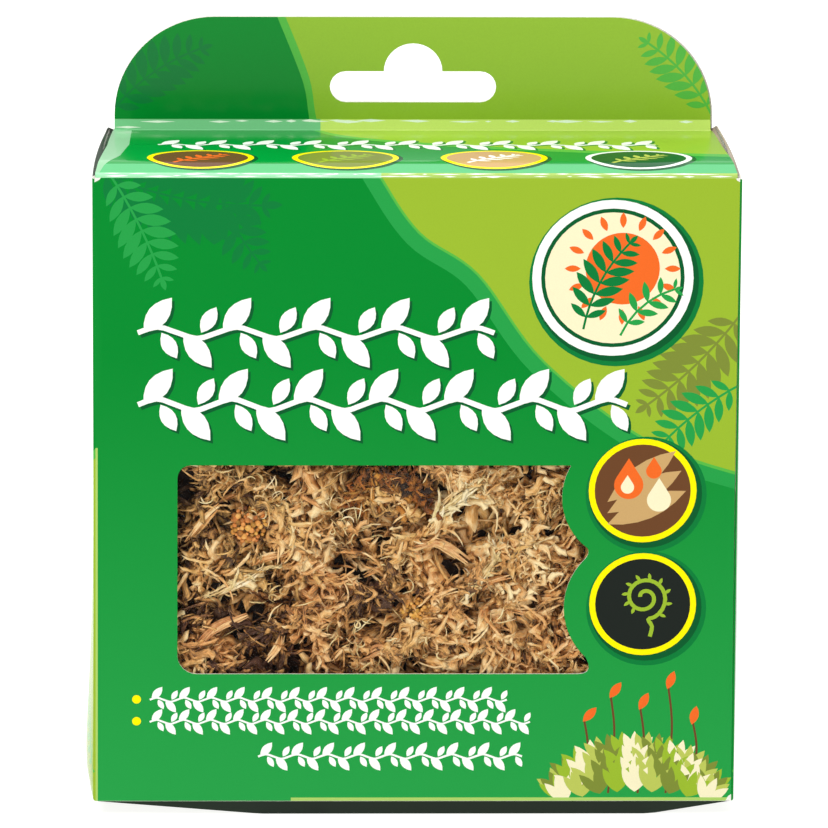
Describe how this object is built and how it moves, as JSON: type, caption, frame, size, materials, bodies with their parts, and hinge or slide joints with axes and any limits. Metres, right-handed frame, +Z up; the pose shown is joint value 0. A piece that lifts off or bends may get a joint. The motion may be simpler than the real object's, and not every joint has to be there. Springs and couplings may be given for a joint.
{
  "type": "windowed hang-tab carton of dried sphagnum moss",
  "caption": "Flat upright retail carton with a die-cut window, hang slot and lifting lid, filled with a loose clump of dried sphagnum moss.",
  "frame": {"origin": "centre of the carton's base, on the surface it stands on", "axes": "+Z up, front panel with the window faces -Y, +X to the right of someone facing the window"},
  "size_m": [0.1682, 0.049, 0.2019],
  "materials": {
    "printed_board": "gloss",
    "side_board": "gloss",
    "flap_board": "matte",
    "window_film": "gloss",
    "tan_moss": "matte",
    "pale_moss": "matte",
    "brown_moss": "matte",
    "amber_buds": "matte"
  },
  "bodies": {
    "carton": {"front_panel": "printed_board", "back_panel": "printed_board", "left_side_panel": "side_board", "right_side_panel": "side_board", "glue_flap": "flap_board", "bottom_outer_flap": "printed_board", "bottom_inner_flap": "flap_board", "bottom_dust_flap_left": "flap_board", "bottom_dust_flap_right": "flap_board", "top_dust_flap_left": "flap_board", "top_dust_flap_right": "flap_board", "window_film": "window_film", "moss_mat": "tan_moss", "moss_leafy_stem_1": "tan_moss", "moss_leafy_stem_2": "tan_moss", "moss_leafy_stem_3": "tan_moss", "moss_leafy_stem_4": "tan_moss", "moss_leafy_stem_5": "tan_moss", "moss_leafy_stem_6": "tan_moss", "moss_leafy_stem_7": "tan_moss", "moss_leafy_stem_8": "tan_moss", "moss_leafy_stem_9": "tan_moss", "moss_pale_stem_1": "pale_moss", "moss_pale_stem_2": "pale_moss", "moss_pale_stem_3": "pale_moss", "moss_ribbon_1": "brown_moss", "moss_ribbon_2": "brown_moss", "moss_ribbon_3": "brown_moss", "moss_bud_head_1": "amber_buds", "moss_bud_head_2": "amber_buds", "moss_stained_tuft": "brown_moss"},
    "lid": {"lid_panel": "printed_board", "hanger_score_strip": "printed_board", "hanger_front_ply": "printed_board"}
  },
  "joints": [
    {"name": "lid_crease", "type": "hinge", "parent": "carton", "child": "lid", "pos_m": [0, -0.0245, 0.1713], "axis": [1, 0, 0], "range_deg": [0, 130]}
  ]
}
